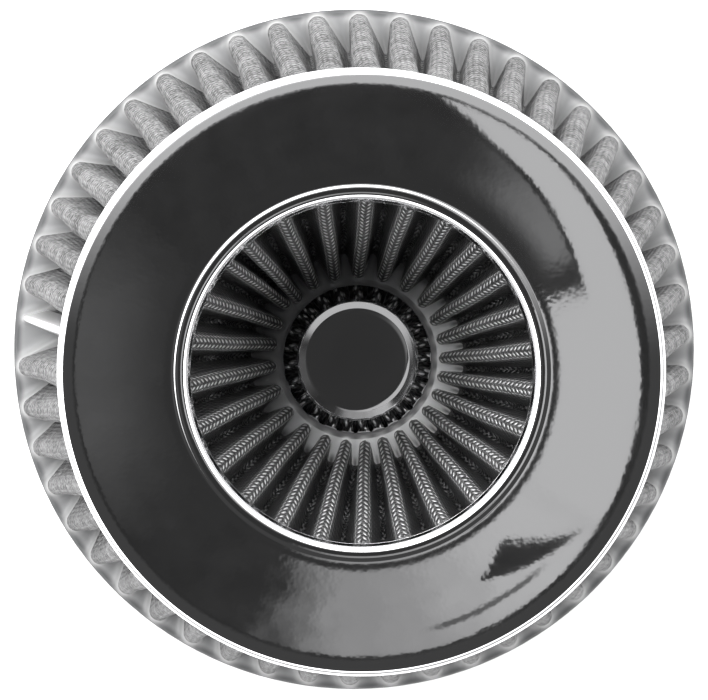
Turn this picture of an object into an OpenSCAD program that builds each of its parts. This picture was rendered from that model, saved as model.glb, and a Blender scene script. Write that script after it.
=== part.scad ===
// Cone air filter with a second, inverted cone of pleats inside its metal top ring.
// The filter stands on the end of its neck, with the neck's axis on Z.

/* [Overall] */
// Outer diameter of the moulded base ring
base_d = 152; // [146:1:172]
// Outer diameter of the metal top ring
top_d = 121; // [117:1:132]
// Height from the underside of the base ring to the top of the metal ring
body_h = 140; // [120:1:168]

/* [Base and neck] */
// Bore of the neck, which is the outside of the pipe it goes on
neck_bore_d = 76; // [64:1:88]
// Wall of the neck
neck_wall = 5; // [4:0.25:6.5]
// Length of the neck below the base ring
neck_h = 25; // [21:1:32]
// Thickness of the base ring
base_h = 14; // [11:0.5:18]
// Rounding of the base ring's lower outer edge
base_round = 2.2; // [1.5:0.1:2.2]
// Rounding of the base ring's upper outer edge
base_edge_r = 0.8; // [0.4:0.1:0.9]
// Radius of the rounded way from the bore into the filter
bell_r = 11; // [6:0.5:13]
// How far the pleats stand in from the edge of the base ring
base_margin = 0.9; // [0.9:0.1:3]
// Depth of the clamp's seat in the neck
seat_depth = 0.6; // [0.3:0.1:1]

/* [Metal top ring] */
// Thickness of the sheet metal
skin = 0.8; // [0.6:0.05:1]
// Length of the skirt over the top of the pleats
skirt_h = 12; // [9:0.5:16]
// Bend between the skirt and the face
rim_r = 2; // [1.5:0.1:2.6]
// How far the face falls from the throat to the rim
dome_h = 1.3; // [0.8:0.1:2]
// Width of the ring's face from the throat to the skirt
ring_w = 26.4; // [24.8:0.2:30]
// Depth of the throat's lip below the bead
lip_h = 7.5; // [6:0.25:10]
// Radius with which the face rolls over into the throat
bead_r = 2; // [1.5:0.1:2.4]
// How far the bead round the throat stands above the face
bead_h = 0.2; // [0.15:0.05:0.4]
// Width of the bead's level top outside the roll
bead_land = 0.4; // [0.2:0.1:1]
// Width of the slope between the bead and the face
bead_slope_w = 1.5; // [1.2:0.1:2]

/* [Outer pleats] */
// Number of pleats in the outer cone
outer_pleats = 50; // [36:1:52]
// Thickness of the gauze and its two screens
outer_media_t = 1.4; // [1:0.05:1.6]
// Depth of a pleat where it stands on the base
outer_depth = 10; // [8:0.5:14]
// Fold radius at the outside where a pleat stands on the base, at the middle of the gauze
outer_foot_fold_r = 1.05; // [0.85:0.05:1.9]
// Share of their pitch that the rounded pleats fill under the top ring
outer_head_fill = 0.96; // [0.8:0.01:0.97]
// Fold radius at the inside, at the middle of the gauze
outer_root_r = 1.15; // [0.95:0.05:1.3]
// How far the pleats turn about the axis from the base to the top ring
outer_twist = -1.4; // [-3:0.1:3]

/* [Inner pleats] */
// Number of pleats in the inverted cone
inner_pleats = 26; // [20:1:28]
// Thickness of the gauze and its two screens
inner_media_t = 1.1; // [0.8:0.05:1.25]
// Depth of a pleat where it stands on the hub disc
inner_foot_depth = 6.5; // [6:0.25:9]
// Depth of a pleat under the throat
inner_head_depth = 11; // [9:0.25:12.5]
// Radius of the circle that the pleats make round the button
inner_foot_r = 17.2; // [16:0.1:20]
// Fold radius that faces the axis, at the foot, at the middle of the gauze
inner_foot_fold_r = 0.7; // [0.65:0.05:0.85]
// Fold radius that faces the axis, under the throat, at the middle of the gauze
inner_head_fold_r = 1.05; // [0.9:0.05:1.4]
// Fold radius that faces the outer cone, at the middle of the gauze
inner_root_r = 1.25; // [1:0.05:1.5]
// How unevenly the pleats are spaced round the axis
inner_unevenness = 1; // [0:0.1:1]

/* [Pleat seams] */
// Direction of the outer cone's seam
outer_seam_angle = 174.4; // [0:0.1:360]
// Depth of the folds on both sides of the outer seam where they stand on the base
outer_seam_depth = 13; // [12:0.25:14]
// How far the outer seam leans clockwise from its place in the row
outer_seam_shift = 1.2; // [-1.2:0.1:1.2]
// Thickness of the seam strip's sheet metal
seam_t = 0.3; // [0.2:0.05:0.4]
// Width of the seam strip across its fold
seam_w = 1.5; // [1.3:0.05:2]
// How far the seam strip reaches down each side of its pleat
seam_leg = 5; // [4:0.25:6]
// How far a seam's fold stands back from its neighbours
seam_set_back = 0.9; // [0.5:0.05:1.2]
// Direction of the inverted cone's seam
inner_seam_angle = 142; // [0:0.1:360]
// Angle between the inverted cone's seam and the pleat that it leans on
inner_seam_squeeze = 8.8; // [8:0.1:12]

/* [Hub] */
// Height of the button's top above the underside of the base ring
hub_z = 73; // [62:1:84]
// Outer diameter of the button's top
button_top_d = 25.4; // [22:0.2:28]
// Width of the shallow bevel round the button's level top
bevel_w = 1.4; // [0.8:0.1:3]
// How far the bevel falls
bevel_h = 0.2; // [0.1:0.02:0.4]
// Diameter of the button's foot
button_foot_d = 31.6; // [29:0.2:31.8]
// Height of the button above the hub disc
button_h = 5.8; // [5.4:0.1:7]
// Rounding of the button's edge
edge_r = 0.3; // [0.2:0.05:0.7]
// Slope of the button's flared foot
flare_angle = 40; // [35:1:50]
// Thickness of the hub disc
disc_h = 8.5; // [6:0.5:11]
// Height of the disc's rim round the pleats
disc_rim_h = 3; // [2:0.25:4]
// Wall of the disc's rim
disc_rim_w = 1.8; // [1.4:0.1:2.4]

/* [Hose clamp] */
// Width of the band
band_w = 12.6; // [11:0.1:14]
// Thickness of the band
band_t = 0.7; // [0.5:0.05:0.9]
// Angle of the tail that passes the housing
tail_angle = 56; // [44:1:70]
// Direction in which the clamp's screw stands
clamp_angle = -58; // [-90:1:0]
// Radius of the screw's shank
screw_r = 3.6; // [3:0.1:4]
// Length of the shank between the housing's ends
shank_l = 12; // [10:0.5:14]
// Width of the screw's hexagon head across its flats
head_af = 7; // [6:0.1:7.2]
// Thickness of the housing's sheet metal
housing_t = 0.9; // [0.7:0.05:1.1]

/* [Clearances] */
// Gap between pleats and the metal they stand behind
pleat_gap = 0.3; // [0.2:0.05:0.5]
// Gap between the two cones of pleats where they come closest
cone_gap = 1.6; // [1.2:0.1:2.4]
// Gap between the seam strip and its pleat
seam_gap = 0.12; // [0.08:0.01:0.14]
// Gap between the clamp's pieces
clamp_gap = 0.1; // [0.05:0.01:0.2]
// Running gap of the screw in its housing
screw_gap = 0.06; // [0.04:0.01:0.1]

/* [Hidden] */
$fn = 96;

// Radii
base_r = base_d / 2;
top_r = top_d / 2;
bore_r = neck_bore_d / 2;
neck_r = bore_r + neck_wall;
seat_r = neck_r - seat_depth;
throat_r = top_r - ring_w;
button_foot_r = button_foot_d / 2;
button_top_r = button_top_d / 2;

// Levels
base_top = neck_h + base_h;
crest = neck_h + body_h;
face_in = crest - bead_h;
face_out = face_in - dome_h;
skirt_end = face_out - skirt_h;
lip_end = crest - lip_h;
seal_end = lip_end + 0.5;
button_top = neck_h + hub_z;
disc_top = button_top - button_h;
disc_end = disc_top - disc_h;

// The bead's slope is two arcs, and the face starts at its foot
bead_x = throat_r + bead_r;
slope_x = bead_x + bead_land;
face_start_r = slope_x + bead_slope_w;
slope_angle = 2 * atan(bead_h / bead_slope_w);
slope_r = bead_slope_w / 2 / sin(slope_angle);

// The outer cone's folds: its ridges clear the skirt's lower edge, and its height is tapered to there
outer_foot_r = base_r - base_margin;
outer_skirt_r = top_r - skin - pleat_gap;
outer_lean = (outer_foot_r - outer_skirt_r) / (skirt_end - base_top);
outer_head_r = outer_foot_r - outer_lean * (seal_end - base_top);
inner_head_r = throat_r + skin + pleat_gap;
outer_head_depth = outer_head_r - inner_head_r - inner_head_depth - cone_gap;
outer_pitch = 360 / outer_pleats;
head_share = outer_head_fill * sin(outer_pitch / 2);
outer_head_fold_r = outer_head_r * head_share / (1 + head_share) - outer_media_t / 2;
inner_foot_root_r = inner_foot_r + inner_foot_depth;
inner_head_root_r = inner_head_r + inner_head_depth;
inner_lean = (inner_head_root_r - inner_foot_root_r) / (seal_end - disc_top);
disc_r = inner_foot_root_r + inner_lean * disc_rim_h + pleat_gap + disc_rim_w;

// Steps round the folds and the rounded edges
outer_fold_steps = 6;
outer_root_steps = 3;
inner_fold_steps = 8;
inner_root_steps = 4;
face_steps = 10;
round_steps = 10;
slope_steps = 2;

// Clamp
band_r = seat_r + clamp_gap;
tail_r = band_r + band_t + clamp_gap;
band_mid = (neck_h - base_round) / 2 + 1;
screw_x = tail_r + band_t + clamp_gap + screw_r;
housing_in_r = screw_r + 2 * clamp_gap;
housing_l = shank_l + 2 * (housing_t + clamp_gap);
journal_r = screw_r - 1.1;
head_l = 5;
slot_pitch = 2.3;
slot_w = 0.9;
slot_l = band_w * 0.62;
slot_tilt = 8;

function arc(c, r, from, to, steps) =
    [for (i = [0:steps]) let (a = from + (to - from) * i / steps) c + r * [cos(a), sin(a)]];
function reversed(list) = [for (i = [len(list) - 1:-1:0]) list[i]];
function polar(r, a) = [r * cos(a), r * sin(a)];

// A fold is [direction from the axis, distance of its centre from the axis, radius]. The flat side
// between two folds touches both circles, one on each side of it. This is the direction of its
// normal, measured from the outer fold's own direction.
function side_angle(outer, inner) =
    let (
        d = polar(inner[1], abs(inner[0] - outer[0])) - [outer[1], 0],
        lean = acos((outer[2] + inner[2]) / norm(d))
    )
    atan2(d[1], d[0]) - lean;

// One face of the pleated gauze at one level, as a closed loop of points. Fold k away from the
// axis is outers[k], and the fold towards the axis that follows it anticlockwise is inners[k].
function pleat_loop(outers, inners, outer_steps, inner_steps) =
    let (n = len(outers))
    [for (k = [0:n - 1])
        let (
            o = outers[k],
            i = inners[k],
            last = k == 0 ? inners[n - 1] - [360, 0, 0] : inners[k - 1],
            next = k == n - 1 ? outers[0] + [360, 0, 0] : outers[k + 1],
            before = side_angle(o, last),
            after = side_angle(o, i),
            beyond = side_angle(next, i)
        )
        for (p = concat(
            arc(polar(o[1], o[0]), o[2], o[0] - before, o[0] + after, outer_steps),
            arc(polar(i[1], i[0]), i[2], o[0] + after + 180, next[0] - beyond + 180, inner_steps))) p];

// A wall between two loops at the foot and two at the head
module lofted_wall(foot_out, foot_in, foot_z, head_out, head_in, head_z) {
    n = len(foot_out);
    points = [for (p = foot_out) [p[0], p[1], foot_z], for (p = head_out) [p[0], p[1], head_z],
              for (p = foot_in) [p[0], p[1], foot_z], for (p = head_in) [p[0], p[1], head_z]];
    faces = [for (i = [0:n - 1]) let (j = (i + 1) % n) each [
        [i, i + n, j + n], [i, j + n, j],
        [i + 2 * n, j + 2 * n, j + 3 * n], [i + 2 * n, j + 3 * n, i + 3 * n],
        [i, j, j + 2 * n], [i, j + 2 * n, i + 2 * n],
        [i + n, i + 3 * n, j + 3 * n], [i + n, j + 3 * n, j + n]]];
    polyhedron(points, faces, convexity = 20);
}

// The same with open loops, closed at both ends
module lofted_strip(foot_out, foot_in, foot_z, head_out, head_in, head_z) {
    n = len(foot_out);
    m = n - 1;
    points = [for (p = foot_out) [p[0], p[1], foot_z], for (p = head_out) [p[0], p[1], head_z],
              for (p = foot_in) [p[0], p[1], foot_z], for (p = head_in) [p[0], p[1], head_z]];
    sides = [for (i = [0:m - 1]) let (j = i + 1) each [
        [i, i + n, j + n], [i, j + n, j],
        [i + 2 * n, j + 2 * n, j + 3 * n], [i + 2 * n, j + 3 * n, i + 3 * n],
        [i, j, j + 2 * n], [i, j + 2 * n, i + 2 * n],
        [i + n, i + 3 * n, j + 3 * n], [i + n, j + 3 * n, j + n]]];
    ends = [[0, 2 * n, 3 * n], [0, 3 * n, n],
            [m, m + n, m + 3 * n], [m, m + 3 * n, m + 2 * n]];
    polyhedron(points, concat(sides, ends), convexity = 6);
}

// Folds of the outer cone for one face of its gauze, with its ridges at radius r and the whole row
// turned about the axis. Fold 0 is the seam, where the two ends of the gauze are pressed together
// under the strip. The folds on both sides of it follow it, and the others keep their even pitch.
seam_fold_r = seam_w / 2 - seam_t - seam_gap;
function seam_centre_r(r) = r - seam_set_back - seam_w / 2;
function outer_ridges(r, fold, turn, side) = [for (k = [0:outer_pleats - 1])
    let (a = outer_seam_angle + turn + k * outer_pitch + (k > 0 ? outer_seam_shift : 0))
    k > 0 ? [a, r - outer_media_t / 2 - fold, fold + side * outer_media_t / 2]
        : side > 0 ? [a, seam_centre_r(r), seam_fold_r]
        : [a, seam_centre_r(r) - 1.6, seam_fold_r / 2]];
function outer_roots(r, seam_r, turn, side) = [for (k = [0:outer_pleats - 1])
    let (beside_seam = k == 0 || k == outer_pleats - 1)
    [outer_seam_angle + turn + (k + 0.5) * outer_pitch + (beside_seam ? 0 : outer_seam_shift),
     (beside_seam ? seam_r : r) + outer_media_t / 2 + outer_root_r, outer_root_r - side * outer_media_t / 2]];

// Folds of the inverted cone for one face of its gauze. Its ridges face the axis, at radius r, and
// its last ridge is the seam, which leans on the first. The row is bunched on one side, more at the
// foot than at the head. Each wave is [degrees, phase], and they go once, twice and so on round.
foot_waves = [[6.3, 132], [2.4, 168], [1.5, 15]];
head_waves = [[2.4, 94], [0.8, 3]];
inner_pitch = (360 - inner_seam_squeeze) / (inner_pleats - 1);
seam_ridge_r = inner_media_t / 2 + 0.04;
function bunched(a, waves) = a + inner_unevenness
    * [for (i = [0:len(waves) - 1]) waves[i][0] * cos((i + 1) * a + waves[i][1])]
    * [for (i = [0:len(waves) - 1]) 1];
function inner_even_angle(k) = k == inner_pleats ? inner_seam_angle
    : inner_seam_angle - inner_seam_squeeze - (inner_pleats - 1 - k) * inner_pitch;
function inner_ridge_angle(k, waves) = bunched(inner_even_angle(k), waves);
function inner_ridges(r, fold, waves, side) = [for (k = [1:inner_pleats])
    let (a = inner_ridge_angle(k, waves))
    k < inner_pleats ? [a, r + inner_media_t / 2 + fold, fold - side * inner_media_t / 2]
        : [a, r + seam_set_back + inner_media_t / 2 + seam_ridge_r, seam_ridge_r - side * inner_media_t / 2]];
function inner_roots(r, waves, side) = [for (k = [1:inner_pleats])
    [k == 1 ? (inner_ridge_angle(inner_pleats, waves) - 360 + inner_ridge_angle(1, waves)) / 2
        : (inner_ridge_angle(k - 1, waves) + inner_ridge_angle(k, waves)) / 2,
     r - inner_media_t / 2 - inner_root_r, inner_root_r + side * inner_media_t / 2]];

// Section of the sheet metal top ring from the throat's lip to the skirt, moved in by depth
rim_c_r = top_r - rim_r;
rim_tilt = atan(2 * dome_h / (rim_c_r - face_start_r));
face_end_r = rim_c_r + rim_r * sin(rim_tilt);
function face_z(r) = face_in - dome_h * pow((r - face_start_r) / (face_end_r - face_start_r), 2);
function face_tilt(r) = atan(2 * dome_h * (r - face_start_r) / pow(face_end_r - face_start_r, 2));
rim_c_z = face_out - rim_r * cos(rim_tilt);
function ring_section(depth) = concat(
    arc([bead_x, crest - bead_r], bead_r - depth, 180, 90, round_steps),
    arc([slope_x, crest - slope_r], slope_r - depth, 90, 90 - slope_angle, slope_steps),
    arc([face_start_r, face_in + slope_r], slope_r + depth, 270 - slope_angle, 270, slope_steps),
    [for (i = [1:face_steps - 1])
        let (r = face_start_r + (face_end_r - face_start_r) * i / face_steps, t = face_tilt(r))
        [r - depth * sin(t), face_z(r) - depth * cos(t)]],
    arc([rim_c_r, rim_c_z], rim_r - depth, 90 - rim_tilt, 0, round_steps));

// Section of the button's sheet metal from its middle to its foot, moved in by depth
flank_r = 1;
flare_in_r = button_top_r + flank_r * (1 - sin(flare_angle));
flank_z = disc_top + (button_foot_r - flare_in_r) * tan(flare_angle) + flank_r * cos(flare_angle);
function button_section(depth) =
    let (e = max(edge_r - depth, 0.05), edge_x = button_top_r - depth - e)
    concat(
        [[0, button_top - depth], [button_top_r - edge_r - bevel_w, button_top - depth]],
        arc([edge_x, button_top - bevel_h - depth - e], e, 90, 0, round_steps / 2),
        arc([button_top_r + flank_r, flank_z], flank_r + depth, 180, 270 - flare_angle, round_steps / 2),
        [[button_foot_r - depth / sin(flare_angle), disc_top]]);

module base_flange() {
    lip = 1.2;
    lip_top = band_mid - band_w / 2 - clamp_gap;
    seat_top = band_mid + band_w / 2 + clamp_gap;
    root_r = 3;
    color([0.42, 0.43, 0.44]) rotate_extrude() polygon(concat(
        [[bore_r, 0], [neck_r - 0.6, 0], [neck_r, 0.6]],
        [[neck_r, lip_top - lip / 2], [seat_r, lip_top], [seat_r, seat_top]],
        arc([neck_r + root_r, neck_h - root_r], root_r, 180, 90, round_steps),
        arc([base_r - base_round, neck_h + base_round], base_round, 270, 360, round_steps),
        arc([base_r - base_edge_r, base_top - base_edge_r], base_edge_r, 0, 90, round_steps),
        arc([bore_r + bell_r, base_top - bell_r], bell_r, 90, 180, round_steps)));
}

module outer_media() {
    foot_root_r = outer_foot_r - outer_depth;
    foot_seam_r = outer_foot_r - outer_seam_depth;
    head_root_r = outer_head_r - outer_head_depth;
    function foot(side) = pleat_loop(outer_ridges(outer_foot_r, outer_foot_fold_r, 0, side),
        outer_roots(foot_root_r, foot_seam_r, 0, side), outer_fold_steps, outer_root_steps);
    function head(side) = pleat_loop(outer_ridges(outer_head_r, outer_head_fold_r, outer_twist, side),
        outer_roots(head_root_r, head_root_r, outer_twist, side), outer_fold_steps, outer_root_steps);
    color([0.62, 0.63, 0.63]) lofted_wall(foot(1), foot(-1), base_top, head(1), head(-1), seal_end);
}

// The strip is a narrow channel pressed over the seam's fold, with its legs along the pleat's sides
function seam_channel(ridge_r, root_r, turn, r) =
    let (
        c = polar(seam_centre_r(ridge_r), outer_seam_angle + turn),
        fold = [outer_seam_angle + turn, seam_centre_r(ridge_r), seam_fold_r],
        a = side_angle(fold, outer_roots(root_r, root_r, turn, 1)[0]),
        left = outer_seam_angle + turn + a,
        right = outer_seam_angle + turn - a
    )
    concat([c + polar(r, right) + polar(seam_leg, right - 90)],
           arc(c, r, right, left, 8),
           [c + polar(r, left) + polar(seam_leg, left + 90)]);

module outer_seam_strip() {
    function foot(r) = seam_channel(outer_foot_r, outer_foot_r - outer_seam_depth, 0, r);
    function head(r) = seam_channel(outer_head_r, outer_head_r - outer_head_depth, outer_twist, r);
    color([0.85, 0.86, 0.87]) lofted_strip(
        foot(seam_w / 2), foot(seam_w / 2 - seam_t), base_top,
        head(seam_w / 2), head(seam_w / 2 - seam_t), seal_end);
}

module inner_media() {
    function foot(side) = pleat_loop(
        inner_roots(inner_foot_root_r, foot_waves, side),
        inner_ridges(inner_foot_r, inner_foot_fold_r, foot_waves, side), inner_root_steps, inner_fold_steps);
    function head(side) = pleat_loop(
        inner_roots(inner_head_root_r, head_waves, side),
        inner_ridges(inner_head_r, inner_head_fold_r, head_waves, side), inner_root_steps, inner_fold_steps);
    color([0.34, 0.35, 0.36]) lofted_wall(foot(1), foot(-1), disc_top, head(1), head(-1), seal_end);
}

module top_ring() {
    color([0.8, 0.81, 0.82]) rotate_extrude() polygon(concat(
        [[throat_r, lip_end]], ring_section(0), [[top_r, skirt_end], [top_r - skin, skirt_end]],
        reversed(ring_section(skin)), [[throat_r + skin, lip_end]]));
}

// Moulded ring that holds the heads of both cones of pleats inside the metal ring
module top_seal() {
    color([0.3, 0.3, 0.31]) rotate_extrude() polygon(concat(
        [[throat_r + skin, seal_end]], ring_section(skin), [[top_r - skin, seal_end]]));
}

module hub_disc() {
    rounding = 2;
    color([0.42, 0.43, 0.44]) rotate_extrude() polygon(concat(
        [[0, disc_end]],
        arc([disc_r - rounding, disc_end + rounding], rounding, 270, 360, round_steps),
        [[disc_r, disc_top + disc_rim_h], [disc_r - disc_rim_w, disc_top + disc_rim_h]],
        [[disc_r - disc_rim_w, disc_top], [0, disc_top]]));
}

module hub_button() {
    color([0.8, 0.81, 0.82]) rotate_extrude()
        polygon(concat(button_section(0), reversed(button_section(skin))));
}

// The clamp's band goes once round the neck, steps out and runs on over its own start
band_start = -14;
band_step = 12;
function step_part(a) = max(0, min(1, (a - (band_start + 360 - band_step)) / band_step));
function band_path_r(a) = band_r + (tail_r - band_r) * (1 - cos(180 * step_part(a))) / 2;

module clamp_band() {
    turn = 360 + tail_angle - band_start;
    steps = round(turn / 3);
    slot_step = slot_pitch / tail_r * 180 / PI;
    angles = [for (i = [0:steps]) band_start + turn * i / steps];
    color([0.75, 0.76, 0.78]) rotate([0, 0, clamp_angle]) difference() {
        translate([0, 0, band_mid - band_w / 2]) linear_extrude(band_w) polygon(concat(
            [for (a = angles) polar(band_path_r(a), a)],
            reversed([for (a = angles) polar(band_path_r(a) + band_t, a)])));
        for (a = [-9:slot_step:tail_angle - 5])
            rotate([0, 0, a]) translate([tail_r + band_t / 2, 0, band_mid]) rotate([slot_tilt, 0, 0])
                cube([band_t + clamp_gap, slot_w, slot_l], center = true);
    }
}

module at_screw() {
    rotate([0, 0, clamp_angle]) translate([screw_x, 0, band_mid]) rotate([-90, 0, 0]) children();
}

// Pressed housing over the screw. Its cheeks straddle the band, and its end walls carry the screw.
module clamp_housing() {
    hood_r = housing_in_r + housing_t;
    seat = tail_r + band_t + clamp_gap - screw_x;
    cheek = neck_r + 2 * clamp_gap - screw_x;
    wide = band_w / 2 + clamp_gap + housing_t;
    color([0.75, 0.76, 0.78]) at_screw() difference() {
        translate([0, 0, -housing_l / 2]) linear_extrude(housing_l) union() {
            intersection() {
                circle(hood_r);
                translate([0, -hood_r]) square(2 * hood_r);
            }
            translate([seat, -hood_r]) square([0.01 - seat, 2 * hood_r]);
            translate([seat, -wide]) square([housing_t, 2 * wide]);
            for (s = [-1, 1]) translate([cheek, s * (wide - housing_t / 2) - housing_t / 2])
                square([seat - cheek + housing_t / 2, housing_t]);
        }
        translate([0, 0, -shank_l / 2 - clamp_gap]) linear_extrude(shank_l + 2 * clamp_gap) union() {
            circle(housing_in_r);
            translate([seat - 1, -housing_in_r]) square([1 - seat, 2 * housing_in_r]);
        }
        translate([0, 0, -housing_l]) cylinder(r = journal_r + screw_gap, h = 2 * housing_l);
    }
}

module clamp_screw() {
    thread_d = 0.8;
    turns = floor(shank_l / slot_pitch);
    start = (shank_l - turns * slot_pitch) / 2;
    neck = housing_t + 2 * clamp_gap;
    color([0.72, 0.73, 0.75]) at_screw() difference() {
        union() {
            rotate_extrude() polygon(concat(
                [[0, -shank_l / 2 - neck - 0.8], [journal_r - 0.5, -shank_l / 2 - neck - 0.8],
                 [journal_r, -shank_l / 2 - neck - 0.3], [journal_r, -shank_l / 2]],
                [for (i = [0:turns - 1]) let (z = start + i * slot_pitch - shank_l / 2) each [
                    [screw_r - thread_d, z], [screw_r, z + slot_pitch * 0.35],
                    [screw_r, z + slot_pitch * 0.6], [screw_r - thread_d, z + slot_pitch * 0.95]]],
                [[journal_r, shank_l / 2], [journal_r, shank_l / 2 + neck],
                 [head_af * 0.58, shank_l / 2 + neck], [head_af * 0.58, shank_l / 2 + neck + 0.8],
                 [0, shank_l / 2 + neck + 0.8]]));
            translate([0, 0, shank_l / 2 + neck + 0.7])
                cylinder(r = head_af / sqrt(3), h = head_l, $fn = 6);
        }
        translate([-head_af, -0.6, shank_l / 2 + neck + head_l - 0.9])
            cube([2 * head_af, 1.2, 2]);
    }
}

base_flange();
outer_media();
outer_seam_strip();
inner_media();
top_ring();
top_seal();
hub_disc();
hub_button();
clamp_band();
clamp_housing();
clamp_screw();
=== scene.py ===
import bpy
import math
import numpy as np
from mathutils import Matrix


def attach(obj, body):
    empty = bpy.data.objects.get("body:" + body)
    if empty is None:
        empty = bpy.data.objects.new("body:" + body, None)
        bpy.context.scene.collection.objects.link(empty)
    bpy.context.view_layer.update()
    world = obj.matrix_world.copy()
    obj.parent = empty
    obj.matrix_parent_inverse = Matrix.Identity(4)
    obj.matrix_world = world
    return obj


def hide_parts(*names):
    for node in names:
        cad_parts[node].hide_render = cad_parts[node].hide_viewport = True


# cone air filter with a second, inverted cone of pleats inside its chromed ring; sizes in mm

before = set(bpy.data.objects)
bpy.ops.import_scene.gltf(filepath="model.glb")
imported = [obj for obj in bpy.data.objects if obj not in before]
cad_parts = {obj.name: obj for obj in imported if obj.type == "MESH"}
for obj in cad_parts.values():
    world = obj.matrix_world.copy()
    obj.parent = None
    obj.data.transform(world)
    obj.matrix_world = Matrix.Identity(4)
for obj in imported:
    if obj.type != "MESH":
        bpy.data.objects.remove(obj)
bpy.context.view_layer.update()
mm = 0.001


# small helpers for meshes

def polar(r, a):
    # point at distance r and direction a, in degrees: (r cos a, r sin a)
    a = np.radians(a)
    return np.stack([r * np.cos(a), r * np.sin(a)], -1)


def arc(cx, cy, r, start, end, steps):
    # points on a circle from one direction to another, in degrees
    return np.array([cx, cy]) + polar(r, np.linspace(start, end, steps + 1))


def makeObject(name, verts, faceGroups, uvs=None):
    # smooth mesh object of whole arrays of points and faces, in metres
    mesh = bpy.data.meshes.new(name)
    mesh.from_pydata(verts.reshape(-1, 3).tolist(), [], sum((group.tolist() for group in faceGroups), []))
    if uvs is not None:
        layer = mesh.uv_layers.new(name="cloth")
        layer.data.foreach_set("uv", uvs.reshape(-1).astype(np.float32))
    mesh.polygons.foreach_set("use_smooth", np.ones(len(mesh.polygons), dtype=bool))
    mesh.validate()
    mesh.update()
    piece = bpy.data.objects.new(name, mesh)
    bpy.context.scene.collection.objects.link(piece)
    return piece


def gridFaces(rows, cols, closeRows, closeCols):
    # quads of a grid of points, whose last row and column may meet the first
    i = np.arange(rows if closeRows else rows - 1)
    j = np.arange(cols if closeCols else cols - 1)
    i, j = np.meshgrid(i, j, indexing="ij")
    nextRow, nextCol = (i + 1) % rows, (j + 1) % cols
    corners = [i * cols + j, i * cols + nextCol, nextRow * cols + nextCol, nextRow * cols + j]
    return np.stack(corners, -1).reshape(-1, 4)


def outward(verts, faces):
    # turns the faces round if the volume that the closed surface encloses, the sum of the triple
    # products of its triangles' corners, is negative
    points = verts.reshape(-1, 3)
    a, b, c, d = (points[faces[:, k]] for k in range(4))
    volume = (np.cross(b - a, c - a) * a).sum() + (np.cross(c - a, d - a) * a).sum()
    return faces if volume > 0 else faces[:, ::-1]


def lathe(name, profile, segments):
    # carries a closed profile of (radius, height) in mm round Z; a profile that starts and ends on
    # the axis is closed there by fans
    profile = np.asarray(profile) * mm
    onAxis = profile[0, 0] < 1e-9 and profile[-1, 0] < 1e-9
    ring = profile[1:-1] if onAxis else profile
    t = np.linspace(0, 2 * np.pi, segments, endpoint=False)
    radius, height = ring[:, 0, None], ring[:, 1, None]
    height = np.broadcast_to(height, (len(ring), segments))
    verts = np.stack([radius * np.cos(t), radius * np.sin(t), height], -1)
    faces = gridFaces(len(ring), segments, not onAxis, True)
    if not onAxis:
        return makeObject(name, verts, [outward(verts, faces)])
    verts = np.concatenate([verts.reshape(-1, 3), [[0, 0, profile[0, 1]], [0, 0, profile[-1, 1]]]])
    pole = len(ring) * segments
    j = np.arange(segments)
    following = (j + 1) % segments
    firstFan = np.stack([np.full_like(j, pole), following, j], -1)
    lastFan = np.stack([np.full_like(j, pole + 1), pole - segments + j, pole - segments + following], -1)
    order = -1 if profile[0, 1] > profile[-1, 1] else 1
    return makeObject(name, verts, [group[:, ::order] for group in (faces, firstFan, lastFan)])


# small helpers for materials

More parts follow.
